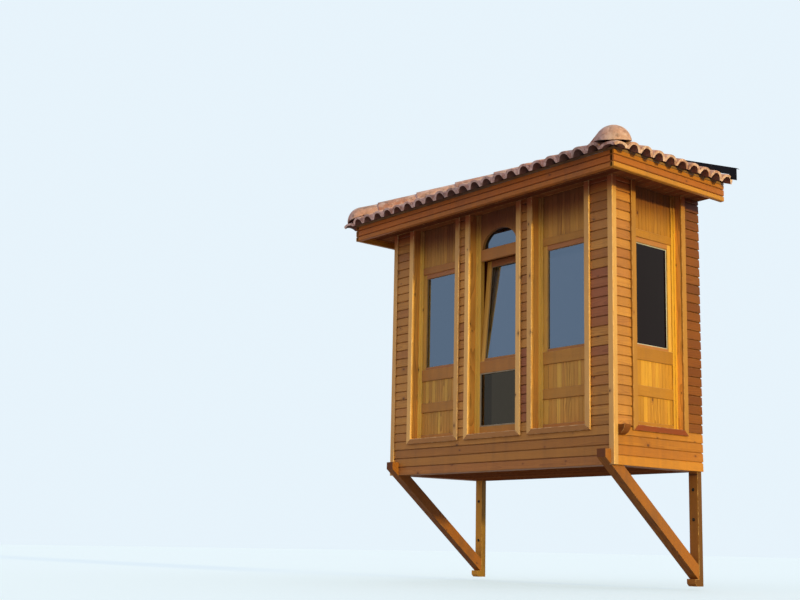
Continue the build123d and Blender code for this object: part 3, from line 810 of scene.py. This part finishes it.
store = newStore()
addJambs(store, frontWall, recess, clear, [(paneLow - lap, midRail[0] + lap, lap),
                                           (midRail[1] - rebate, sashTop + rebate, rebate)])
addRail(store, frontWall, recess, clear, (sillZ, paneLow), (0, lap), archSpec["paneLip"])
for up, rebates, lip in ((midRail, (lap, rebate), baySpec["lip"]),
                         ((sashTop, transomTop), (rebate, lap), archSpec["fanLip"])):
    addRail(store, frontWall, recess, clear, up, rebates, lip, archSpec["railTones"])
edges = [-clear, *archSpec["joints"], clear]
for a, b in zip(edges, edges[1:]):
    figure = newFigure(*archSpec["tones"])
    addArchBoards(store, 0, archSpec["fanLip"], a, b, 0, archSpec["bevels"][0], figure)
    addArchBoards(store, archSpec["fanLip"], baySpec["frameDepth"], a, b, lap, archSpec["bevels"][1], figure)
paneBeads = newStore()
addRim(paneBeads, frontWall, clear, (paneLow, midRail[0]), archSpec["paneBead"], 0,
       (recess + archSpec["beadSetback"], recess + archSpec["paneLip"] - archSpec["beadGap"]), archSpec["beadBevel"])
makeFrame("middle", "middle_frame", frontBay, store, frontWall)

tiltSpec = {"angle": 5.2, "hingeIn": 0.092}
hinge = Vector((0, sidingY + tiltSpec["hingeIn"], midRail[1] - rebate))
lift = Vector((0, 0, sashSpec["depth"] * sin(radians(tiltSpec["angle"]))))
lean = (Matrix.Translation(hinge + lift) @ Matrix.Rotation(radians(-tiltSpec["angle"]), 4, "X")
        @ Matrix.Translation(-hinge))
store = newStore()
addSash(store, lean @ frontWall, frontBay, clear)
makePiece("tiltedSash", store, sashPine, "tilted_sash")
print("middle bay built")


# Floor, ceiling, soffit, fascias, back frame and brackets

deckSpec = {"board": 0.089, "floorBoard": 0.12, "groove": 0.003}


def makeBoardField(name, material, node, strips=(), facing=1, width=deckSpec["board"]):
    low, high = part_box(node)
    place, store = planeOf((0, 0, 0), (1, 0, 0), (0, -facing, 0)), newStore()  # facing is -1 where seen from above
    for across, ends in strips or [((low.x, high.x), mirrored(-facing, low.y, 0))]:
        for up in evenRows(*ends, width):
            addBoard(store, place, across, up, mirrored(facing, low.z, high.z), "u", deckSpec["groove"], True)
    makePiece(name, store, material, node)


makeBoardField("undersideBoards", undersidePine, "underside_boards")
makeBoardField("floorDeck", innerPine, "floor_deck", facing=-1, width=deckSpec["floorBoard"])
makeBoardField("ceilingPanel", innerPine, "ceiling_panel")
low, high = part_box("soffit_boards")
makeBoardField("soffitBoards", soffitPine, "soffit_boards", [
    ((low.x, high.x), (-innerY, -low.y)), ((low.x, -innerX), (0, -innerY)), ((innerX, high.x), (0, -innerY))])

backSpec = {"stud": 0.06, "lintel": 0.22, "bevel": 0.003}
store = newStore()
low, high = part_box("wall_ledger")
deep = (low.y - sidingY, high.y - sidingY)
addBoard(store, frontWall, (low.x, high.x), (low.z, high.z), deep, "u", backSpec["bevel"], True)
makePiece("wallLedger", store, innerPine, "wall_ledger")

store = newStore()
low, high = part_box("back_frame")
deep, clearX = (low.y - sidingY, high.y - sidingY), high.x - backSpec["stud"]
for across, bottom, along in (((low.x, low.x + backSpec["stud"]), low.z, "v"), ((clearX, high.x), low.z, "v"),
                              ((-clearX, clearX), high.z - backSpec["lintel"], "u")):
    addBoard(store, frontWall, across, (bottom, high.z), deep, along, backSpec["bevel"], True)
makePiece("backFrame", store, innerPine, "back_frame")

fasciaSpec = {"joints": (0.0, 0.049, 0.111, 0.152), "thick": 0.04, "groove": 0.005, "gap": 0.005, "inset": 0.004,
              "core": (0.45, 0.9), "lowTones": (0.0, 0.3), "tones": (0.66, 0.8), "coreTones": (0.8, 0.9), "jointDirtAndShade": -0.15,
              "bevel": 0.002}


def addFascia(store, place, across, bottom):
    spec, joints, thick = fasciaSpec, fasciaSpec["joints"], fasciaSpec["thick"]
    for a, b in zip(joints, joints[1:]):
        low, high = bottom + a, bottom + (b - spec["gap"] if b < joints[-1] else b)
        profile = [(0, low), (0, high), (thick, high), (thick, low)]
        # the upper boards take darker, redder tones than the bottom board: painted shade under the tile edge
        tones = spec["lowTones" if a == 0 else "tones"]
        # the boards' groove faces are darkened: dirt with painted shade
        addRun(store, place, profile, across, "u", spec["groove"], (0, 1), tones, spec["bevel"], spec["jointDirtAndShade"])
    addBoard(store, place, across, (bottom + spec["inset"], bottom + joints[-1] - spec["inset"]),
             [thick * share for share in spec["core"]], tones=spec["coreTones"])


low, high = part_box("front_fascia")
store = newStore()
addFascia(store, planeOf((0, low.y, 0), (1, 0, 0)), (low.x, high.x), low.z)
makePiece("frontFascia", store, eavesPine, "front_fascia")
low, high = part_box("side_fascias")
store = newStore()
for sign in (1, -1):
    addFascia(store, planeOf((sign * high.x, 0, 0), (0, sign, 0)), mirrored(sign, low.y, 0), low.z)
makePiece("sideFascias", store, sideEavesPine, "side_fascias")

bracketSpec = {"toe": 0.062, "strutDepth": 0.1, "seat": 0.011, "post": 0.06, "heelTop": 0.065, "heelChamfer": 0.024,
               "strutBevel": 0.0009, "postBevel": 0.004, "strutTones": (0, 0.7)}
# the dark washer behind each bolt head is a washer and also paints the shade of a counterbored hole
boltSpec = {"drops": {"right": (0.16, 0.425), "left": (0.22, 0.63)}, "washerAndHoleShade": (0.015, 28, -0.003, 0, 0.0008),
            "head": (0.009, 6, -0.012, -0.003, 0.0015)}  # radius, sides, near, far and bevel
postTones = {"right": (0.8, 0.82), "left": (0.0, 0.1)}
bolts = newStore()


def makeSidePiece(name, node, material, outline, grain, bevel, tones, turn=0.0):
    (low, high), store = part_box(node), newStore()
    place = planeOf((high.x, 0, 0), (0, 1, 0))
    addPrism(store, outline, place, 0, high.x - low.x, grain, bevel, True, turn=turn, tones=tones)
    makePiece(name, store, material, node)


for side in ("right", "left"):
    spec = bracketSpec
    low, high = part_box(side + "_strut")
    toeZ, seatY, postY = baseZ + spec["toe"], -(spec["post"] + spec["seat"]), -spec["post"]
    steep = (toeZ - low.z) / (seatY - low.y)
    rise = spec["strutDepth"] * sqrt(1 + steep ** 2)
    underY = low.y + (toeZ + rise - baseZ) / steep
    footZ = toeZ + rise - steep * (postY - low.y)
    outline = [(low.y, toeZ), (seatY, low.z), (postY, low.z), (postY, footZ), (underY, baseZ), (sidingY, baseZ),
               (sidingY, high.z), (low.y, high.z)]
    makeSidePiece(side + "Strut", side + "_strut", bracketPine, outline, (0, 1, 2), spec["strutBevel"],
                  spec["strutTones"], -atan2(steep, 1))
    low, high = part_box(side + "_wall_post")
    heelTop, chamfer = low.z + spec["heelTop"], spec["heelChamfer"]
    outline = [(0, high.z), (postY, high.z), (postY, heelTop), (low.y, heelTop), (low.y, low.z + chamfer),
               (low.y + chamfer, low.z), (0, low.z)]
    makeSidePiece(side + "WallPost", side + "_wall_post", postPine, outline, (1, 0, 2), spec["postBevel"],
                  postTones[side])
    for drop in boltSpec["drops"][side]:
        place = planeOf(((low.x + high.x) / 2, postY, baseZ - drop), (1, 0, 0))
        for radius, sides, near, far, bevel in (boltSpec["washerAndHoleShade"], boltSpec["head"]):
            addPrism(bolts, circleOutline(radius, sides), place, near, far, bevel=bevel)

consoleSpec = {"steps": 16, "bevel": 0.0025, "tones": (0.6, 0.8)}
store = newStore()
low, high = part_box("side_consoles")
reach, drop, steps = high.x - sidingX, high.z - low.z, consoleSpec["steps"]
arc = [(reach * cos(t * pi / 2 / steps), -drop * sin(t * pi / 2 / steps)) for t in range(steps + 1)]
for sign, startY in ((1, low.y), (-1, high.y)):
    place = planeOf((sign * sidingX, startY, high.z), (sign, 0, 0))
    addPrism(store, [(0, 0)] + arc, place, 0, high.y - low.y, (0, 1, 2), consoleSpec["bevel"], True,
             tones=consoleSpec["tones"])
# the consoles take the rear piers' painted-shade brown
makePiece("sideConsoles", store, shadedRearPine, "side_consoles")
print("eaves boards, floor and brackets built")


# Clay tiles, one solid each, and the caps over the hips

claySpec = {
    "tones": ((0.50, 0.212, 0.132, 1), (0.42, 0.158, 0.094, 1), (0.57, 0.31, 0.225, 1)), "pale": (0.70, 0.46, 0.38, 1),
    "soot": (0.12, 0.06, 0.045, 1), "worn": (0.84, 0.53, 0.42, 1), "paintedUnderShade": (0.14, 0.05, 0.03, 1),
    "grime": (0.10, 0.07, 0.055, 1), "dust": (0.45, 0.36, 0.3, 1),
}


def clayMaterial():
    spec = claySpec
    material, tree, surface = newMaterial("roofClay")
    place, facing = placeAndFacing(tree)
    grain, tone, wear = ownFigure(tree)
    clay = blend(ease(tone, 0.0, 0.6), spec["tones"][0], spec["tones"][1])
    clay = blend(ease(tone, 0.7, 1.0), clay, spec["tones"][2])
    mottled, grit = noise(grain, 14.0, 5.0, 0.65), noise(grain, 420.0, 3.0, 0.6)
    clay = blend(times(ease(noise(grain, 9.0, 6.0, 0.75), 0.44, 0.64), 0.8), clay, spec["pale"])
    clay = blend(times(ease(mottled, 0.47, 0.66), 0.65), clay, spec["soot"])
    worn = useGroup(edgeWear, {"Color": clay, "Wear": wear, "Place": place, "Worn Color": spec["worn"],
                               "Strength": 1.0})
    # painted shade: faces turned downward, under the tiles and in their hollows, are mixed towards a dark red-brown,
    # less on the worn front rims
    downward = ease(partsOf(facing)[2], -0.55, -0.05, 0.85, 0.0)
    paintedUnderShade = minus(downward, times(wear, 0.6), clamp=True)
    aged = useGroup(grime, {"Color": blend(paintedUnderShade, worn["Color"], spec["paintedUnderShade"]), "Place": place, "Facing": facing,
                            "Amount": 0.45, "Dust": 0.25, "Grime Color": spec["grime"], "Dust Color": spec["dust"]})
    wire(surface, {"Base Color": aged["Color"], "Roughness": plus(0.72, times(mottled, 0.25)),
                   "Normal": bump(plus(times(grit, 0.4), mottled), 0.55, 0.0022)})
    return material


tileSpec = {"length": 0.405, "exposure": 0.335, "lift": 0.017, "thick": 0.018, "height": 0.065, "eavesHeight": 0.077,
            "cornerHeight": 0.042, "foot": 0.024, "gap": 0.0012, "frontColumns": 23, "sideColumns": 10, "steps": 22,
            "rings": (0.0, 0.004, 0.08, 0.17, 0.26, 0.335, 0.405), "pitch": 20.5, "swell": (0.93, 1.03),
            "lipBevel": 0.003, "stray": 0.004, "eavesStray": 0.005, "sideStray": 0.001, "eavesLift": 0.001,
            "arch": (2.3, 0.62), "backGap": 0.004}


def archShare(t):  # the round of a tile, from 0 at either side to 1 in the middle
    flat, full = tileSpec["arch"]
    return max(0.0, 1 - abs(2 * t - 1) ** flat) ** full


def tileRow(u0, width, v, lift, height):
    foot, thick = tileSpec["foot"], tileSpec["thick"]
    top, low = [], []
    for i in range(tileSpec["steps"] + 1):
        t = 0.5 - 0.5 * cos(pi * i / tileSpec["steps"])
        u = t * width
        hollow = archShare((u - foot) / (width - 2 * foot))
        top.append((u0 + u, v, lift + thick + (height - thick) * archShare(t)))
        low.append((u0 + u, v, lift + (height - thick) * hollow))
    return top, low


def addTile(store, place, u0, width, course, atCorner):
    spec = tileSpec
    eaves = spec["cornerHeight"] if atCorner else spec["eavesHeight"]
    stray = (-spec["stray"], spec["stray"]) if course else (0.0, spec["eavesStray"])
    v0 = course * spec["exposure"] + dice.uniform(*stray)
    u0 += dice.uniform(-spec["sideStray"], spec["sideStray"])
    swell = dice.uniform(*spec["swell"])  # no two hand-pressed tiles are equally high
    rows = []
    for s in spec["rings"]:
        share = s / spec["length"]
        lift = spec["lift"] * (1 - share) if course else spec["eavesLift"]
        height = swell * (spec["height"] if course else eaves + (spec["height"] - eaves) * share)
        rows.append(tileRow(u0 + spec["gap"] / 2, width - spec["gap"], v0 + s, lift,
                            height - (spec["lipBevel"] if s == 0 else 0)))
    addSlab(store, place, [top for top, low in rows], [low for top, low in rows], newFigure())


def slopeOf(origin, across, up):
    return axesAt(origin, across, up, Vector(across).cross(Vector(up)))


low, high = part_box("front_tile_slope")
eavesX, eavesY, eavesZ = high.x, low.y, low.z
pitch = radians(tileSpec["pitch"])
courses = ceil(-eavesY / cos(pitch) / tileSpec["exposure"])
frontSlope = slopeOf((0, eavesY, eavesZ), (1, 0, 0), (0, cos(pitch), sin(pitch)))
rightSlope = slopeOf((eavesX, 0, eavesZ), (0, 1, 0), (-cos(pitch), 0, sin(pitch)))
flip = Matrix.Scale(-1, 4, (1, 0, 0))
ridgeHalf = eavesX + eavesY
roofClay = clayMaterial()


def makeTiles(name, node, slope, span, columns, corners, *cuts):
    store, width = newStore(), (span[1] - span[0]) / columns
    for course in range(courses):
        gone = course * tileSpec["exposure"] * cos(pitch)  # how far the hip has moved in
        for column in range(columns):
            u0 = span[0] + column * width
            if u0 + width > span[0] + gone and (len(corners) < 2 or u0 < span[1] - gone):
                addTile(store, slope, u0, width, course, column in corners)
    backCut = ((0, -tileSpec["backGap"], 0), (0, 1, 0))
    makePiece(name, store, roofClay, node, cuts=(*cuts, backCut), smooth=True, slot="clay")


columns = tileSpec["frontColumns"]
makeTiles("frontTiles", "front_tile_slope", frontSlope, (-eavesX, eavesX), columns, (0, columns - 1),
          ((ridgeHalf, 0, 0), (1, 1, 0)), ((-ridgeHalf, 0, 0), (-1, 1, 0)))
for side, sign, slope in (("right", 1, rightSlope), ("left", -1, flip @ rightSlope)):
    makeTiles(side + "Tiles", "side_tile_slopes", slope, (eavesY, 0), tileSpec["sideColumns"], (0,),
              ((sign * ridgeHalf, 0, 0), (-sign, -1, 0)))
print("tiles laid")

capSpec = {"halfWidth": 0.156, "height": 0.133, "thick": 0.016, "setback": 0.029, "exposure": 0.418, "overlap": 0.055,
           "starter": 0.26, "narrow": 0.017, "steps": 26, "domeRings": 12, "domeAngle": 80.9, "lipBevel": 0.003,
           "rings": (0.0, 0.012, 0.25, 0.5, 0.75, 1.0), "domeTones": (0.86, 0.98), "layerDepth": 0.088,
           "backGap": 0.001}


def capSection(x, radius, drop):
    radius, steps = max(radius, drop + 1e-5), capSpec["steps"]
    start = asin(min(1.0, drop / radius))
    angles = [start + (pi - 2 * start) * i / steps for i in range(steps + 1)]
    return [(x, radius * cos(a), radius * sin(a) - drop) for a in angles]


def addCap(store, place, start, end, dome):
    spec = capSpec
    outer = (spec["halfWidth"] ** 2 + spec["height"] ** 2) / (2 * spec["height"])
    drop, inner = outer - spec["height"], outer - spec["thick"]
    rows = []  # a section's place, outer radius and inner radius
    for i in range(spec["domeRings"] if dome else 0):
        angle = radians(spec["domeAngle"]) * (1 - i / spec["domeRings"])
        rows.append(((-outer * sin(angle), outer * cos(angle)), (-inner * sin(angle), inner * cos(angle))))
    for share in spec["rings"]:
        x, thinner = start + (end - start) * share, outer - spec["narrow"] * share
        rows.append(((x, thinner - (spec["lipBevel"] if share == 0 and not dome else 0)), (x, thinner - spec["thick"])))
    figure = newFigure(*spec["domeTones"]) if dome else newFigure()
    addSlab(store, place, [capSection(*top, drop) for top, low in rows], [capSection(*low, drop) for top, low in rows],
            figure)


rise = tan(pitch)
hip = Vector((-1, 1, rise))
back = (capSpec["setback"] + capSpec["halfWidth"]) / sqrt(2)
capZ = eavesZ + capSpec["layerDepth"] - rise * capSpec["halfWidth"] / sqrt(2)
capLength = hip.length * (-eavesY - back)
along, upward = hip.normalized(), (Vector((0, 0, 1)) - hip * (rise / hip.length ** 2)).normalized()
hipPlace = axesAt(Vector((eavesX, eavesY, capZ)) + hip * back, along, upward.cross(along), upward)
store = newStore()
for place in (hipPlace, flip @ hipPlace):
    addCap(store, place, 0.0, capSpec["starter"], True)
    start = capSpec["starter"] - capSpec["overlap"]
    while start < capLength:
        addCap(store, place, start, start + capSpec["exposure"] + capSpec["overlap"], False)
        start += capSpec["exposure"]
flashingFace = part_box("wall_flashing")[0].y
makePiece("hipCaps", store, roofClay, "hip_caps", smooth=True, slot="clay",
          cuts=(((0, flashingFace - capSpec["backGap"], 0), (0, 1, 0)),))
print("hips capped")


# Metal, rubber and glass

def plainFinish(name, color, patch, roughness, metallic=0.0, shine=0.5):
    material, tree, surface = newMaterial(name)
    place, facing = placeAndFacing(tree)
    cloud = noise(place, 9.0, 5.0, 0.65)
    tone = blend(ease(cloud, 0.4, 0.7), (*color, 1), (*patch, 1))
    aged = useGroup(grime, {"Color": tone, "Place": place, "Facing": facing, "Amount": 0.3, "Dust": 0.2})
    wire(surface, {"Base Color": aged["Color"], "Roughness": plus(roughness, times(cloud, 0.25)), "Metallic": metallic,
                   "Specular IOR Level": shine, "Normal": bump(cloud, 0.3, 0.002)})
    return material


flashingSheet = plainFinish("flashingSheet", (0.008, 0.009, 0.014), (0.014, 0.015, 0.021), 0.5, shine=0.1)
# nearly black, which paints the shade in the bolt holes
boltSteel = plainFinish("boltSteel", (0.03, 0.023, 0.018), (0.06, 0.03, 0.02), 0.45, 0.2, 0.2)
beadCream = plainFinish("beadCream", (0.38, 0.30, 0.18), (0.30, 0.22, 0.13), 0.5, shine=0.2)
nailRust = plainFinish("nailRust", (0.13, 0.05, 0.02), (0.09, 0.035, 0.016), 0.6)
gasketGrey = plainFinish("gasketGrey", (0.34, 0.22, 0.10), (0.26, 0.17, 0.09), 0.5)
gasketPale = plainFinish("gasketPale", (0.55, 0.52, 0.46), (0.48, 0.45, 0.4), 0.4)
for name, store, material, slot in (
        ("postBolts", bolts, boltSteel, "flashing"), ("sidingNails", nails, nailRust, "flashing"),
        ("frontGaskets", frontBay["gaskets"], gasketGrey, "glazing"),
        ("sideGaskets", sideBay["gaskets"], gasketPale, "glazing"), ("paneBeads", paneBeads, beadCream, "glazing")):
    makePiece(name, store, material, slot=slot)


# the near-black transmission colour paints the shade of the room behind the panes, and the Specular Tint paints the
# colour of what they reflect; a dust film lightens them in patches
def glass(name, paintedDarkTint, paintedReflection, index):
    material, tree, surface = newMaterial(name)
    place = put(tree, "ShaderNodeTexCoord").outputs["Object"]
    film = ease(noise(place, 2.3, 4.0, 0.6), 0.5, 0.85)
    dusty = (*(channel * 1.8 for channel in paintedDarkTint), 1)
    wire(surface, {"Base Color": blend(times(film, 0.3), (*paintedDarkTint, 1), dusty), "Roughness": plus(0.02, times(film, 0.05)),
                   "Transmission Weight": 1.0, "IOR": index, "Specular Tint": (*paintedReflection, 1),
                   "Normal": bump(noise(place, 1.1, 1.0), 0.08, 0.004)})
    return material


# painted reflections: sky blue on the front panes and the fanlight, warm browns on the side panes and the lower pane
skyGlass = glass("skyGlass", (0.012, 0.012, 0.016), (0.52, 0.71, 1.0), 2.62)
deepGlass = glass("deepGlass", (0.004, 0.0025, 0.002), (1.0, 0.5, 0.32), 1.28)
lowGlass = glass("lowGlass", (0.02, 0.014, 0.008), (1.0, 0.82, 0.6), 1.41)
for material, nodes in ((skyGlass, ("front_glass", "tilted_glass", "fanlight_glass")), (deepGlass, ("side_glass",)),
                        (lowGlass, ("lower_pane",)), (flashingSheet, ("wall_flashing",)),
                        (roughPine, ("roof_frame", "front_roof_deck", "side_roof_decks"))):
    for node in nodes:
        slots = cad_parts[node].data.materials
        slots.clear()
        slots.append(material)
print("glass and metal made")


# Floor, light and camera

stageSpec = {"floorZ": -1.13, "floorHalf": 60, "floor": (0.36, 0.36, 0.36, 1), "floorGlow": 0.53,
             "glow": (0.813, 0.974, 1.0, 1), "sky": (0.80, 0.90, 0.97, 1), "fill": (0.86, 0.96, 1.2, 1),
             "lowFill": (0.50, 0.36, 0.30, 1), "fillLevel": 0.93, "sun": 2.8, "sunColor": (1.0, 0.86, 0.25),
             "sunSide": 88.4, "sunHeight": 9, "sunSize": 3}
mesh = bpy.data.meshes.new("floor")
half = stageSpec["floorHalf"]
mesh.from_pydata([(-half, -half, 0), (half, -half, 0), (half, half, 0), (-half, half, 0)], [], [(0, 1, 2, 3)])
floor = newObject("floor", mesh)
floor.location.z = stageSpec["floorZ"]
floorPaint, tree, surface = newMaterial("floorPaint")
cameraRay = put(tree, "ShaderNodeLightPath").outputs["Is Camera Ray"]
wire(surface, {"Base Color": stageSpec["floor"], "Roughness": 0.9, "Emission Color": stageSpec["glow"],
               "Emission Strength": times(cameraRay, stageSpec["floorGlow"])})
mesh.materials.append(floorPaint)

world = bpy.data.worlds.new("studio")
world.use_nodes = True
bpy.context.scene.world = world
tree = world.node_tree
tree.nodes.clear()
path = put(tree, "ShaderNodeLightPath").outputs
mirrorRay = mathNode("MAXIMUM", path["Is Glossy Ray"], path["Is Transmission Ray"])
seen = mathNode("MAXIMUM", path["Is Camera Ray"], mirrorRay)
rising = partsOf(put(tree, "ShaderNodeTexCoord").outputs["Generated"])[2]
fill = blend(ease(rising, 0.04, 0.42), stageSpec["lowFill"], stageSpec["fill"])
soft = put(tree, "ShaderNodeBackground", {0: fill, 1: stageSpec["fillLevel"]}).outputs[0]
bright = put(tree, "ShaderNodeBackground", {0: stageSpec["sky"], 1: 1.0}).outputs[0]
put(tree, "ShaderNodeOutputWorld", {0: follow("ShaderNodeMixShader", {0: seen, 1: soft, 2: bright})[0]})


def towards(side, tall):  # compass side and height in degrees
    side, tall = radians(side), radians(tall)
    return Vector((sin(side) * cos(tall), -cos(side) * cos(tall), sin(tall)))


lamp = bpy.data.lights.new("softSun", "SUN")
lamp.energy, lamp.angle, lamp.color = stageSpec["sun"], radians(stageSpec["sunSize"]), stageSpec["sunColor"]
sun = newObject("softSun", lamp)
sun.rotation_euler = towards(stageSpec["sunSide"], stageSpec["sunHeight"]).to_track_quat("Z", "Y").to_euler()

viewSpec = {"place": (8.053, -8.9381, -0.7882), "side": 50.034, "tall": -9.034, "roll": 1.033, "lens": 54.093,
            "shift": (-0.01606, 0.06812), "sensor": 36, "clipEnd": 200}
outward, roll = towards(viewSpec["side"], viewSpec["tall"]), radians(viewSpec["roll"])
right = (-outward).cross(Vector((0, 0, 1))).normalized()
up = right.cross(-outward)
right, up = cos(roll) * right + sin(roll) * up, cos(roll) * up - sin(roll) * right
lens = bpy.data.cameras.new("view")
lens.lens, lens.sensor_width, lens.clip_end = viewSpec["lens"], viewSpec["sensor"], viewSpec["clipEnd"]
lens.shift_x, lens.shift_y = viewSpec["shift"]
camera = newObject("view", lens)
camera.matrix_world = axesAt(viewSpec["place"], right, up, outward)
bpy.context.scene.camera = camera
bpy.context.scene.view_settings.view_transform = "Standard"
print("stage set")
